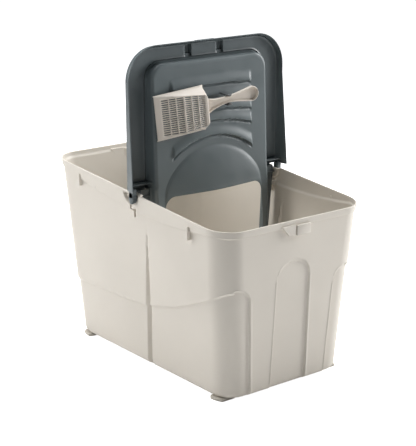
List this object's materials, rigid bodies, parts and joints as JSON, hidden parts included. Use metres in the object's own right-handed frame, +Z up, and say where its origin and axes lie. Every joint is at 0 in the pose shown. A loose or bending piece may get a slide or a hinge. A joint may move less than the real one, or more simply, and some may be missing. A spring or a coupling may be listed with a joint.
{
  "type": "cat litter box",
  "caption": "Top-entry cat litter box: deep tapered tub, slate swing lid with entry opening standing open, and a slotted scoop clipped under the lid.",
  "frame": {"origin": "on the floor under the middle of the box", "axes": "+X across the box to its right, +Y along it to the higher rear end, +Z up"},
  "size_m": [0.4208, 0.6116, 0.6935],
  "materials": {
    "tub_plastic": "satin moulded beige plastic",
    "lid_plastic": "satin moulded slate grey plastic",
    "scoop_plastic": "satin moulded pale beige plastic",
    "pin_plastic": "dark moulded plastic",
    "foot_plastic": "matt soft plastic pad"
  },
  "bodies": {
    "box": {"tub": "tub_plastic", "foot_front_left": "foot_plastic", "foot_front_right": "foot_plastic", "foot_rear_left": "foot_plastic", "foot_rear_right": "foot_plastic"},
    "lid": {"hood_frame": "lid_plastic", "entry_insert": "lid_plastic", "scoop_clip": "lid_plastic", "hinge_pin_left": "pin_plastic", "hinge_pin_right": "pin_plastic"},
    "scoop": {"scoop": "scoop_plastic"}
  },
  "joints": [
    {"name": "lid_hinge", "type": "hinge", "parent": "box", "child": "lid", "pos_m": [0, -0.008, 0.383], "axis": [1, 0, 0], "range_deg": [0, 94.5]},
    {"name": "scoop_unclip", "type": "slide", "parent": "lid", "child": "scoop", "axis": [-0.1091, -0.994, -0.012], "range_m": [0, 0.06]}
  ]
}
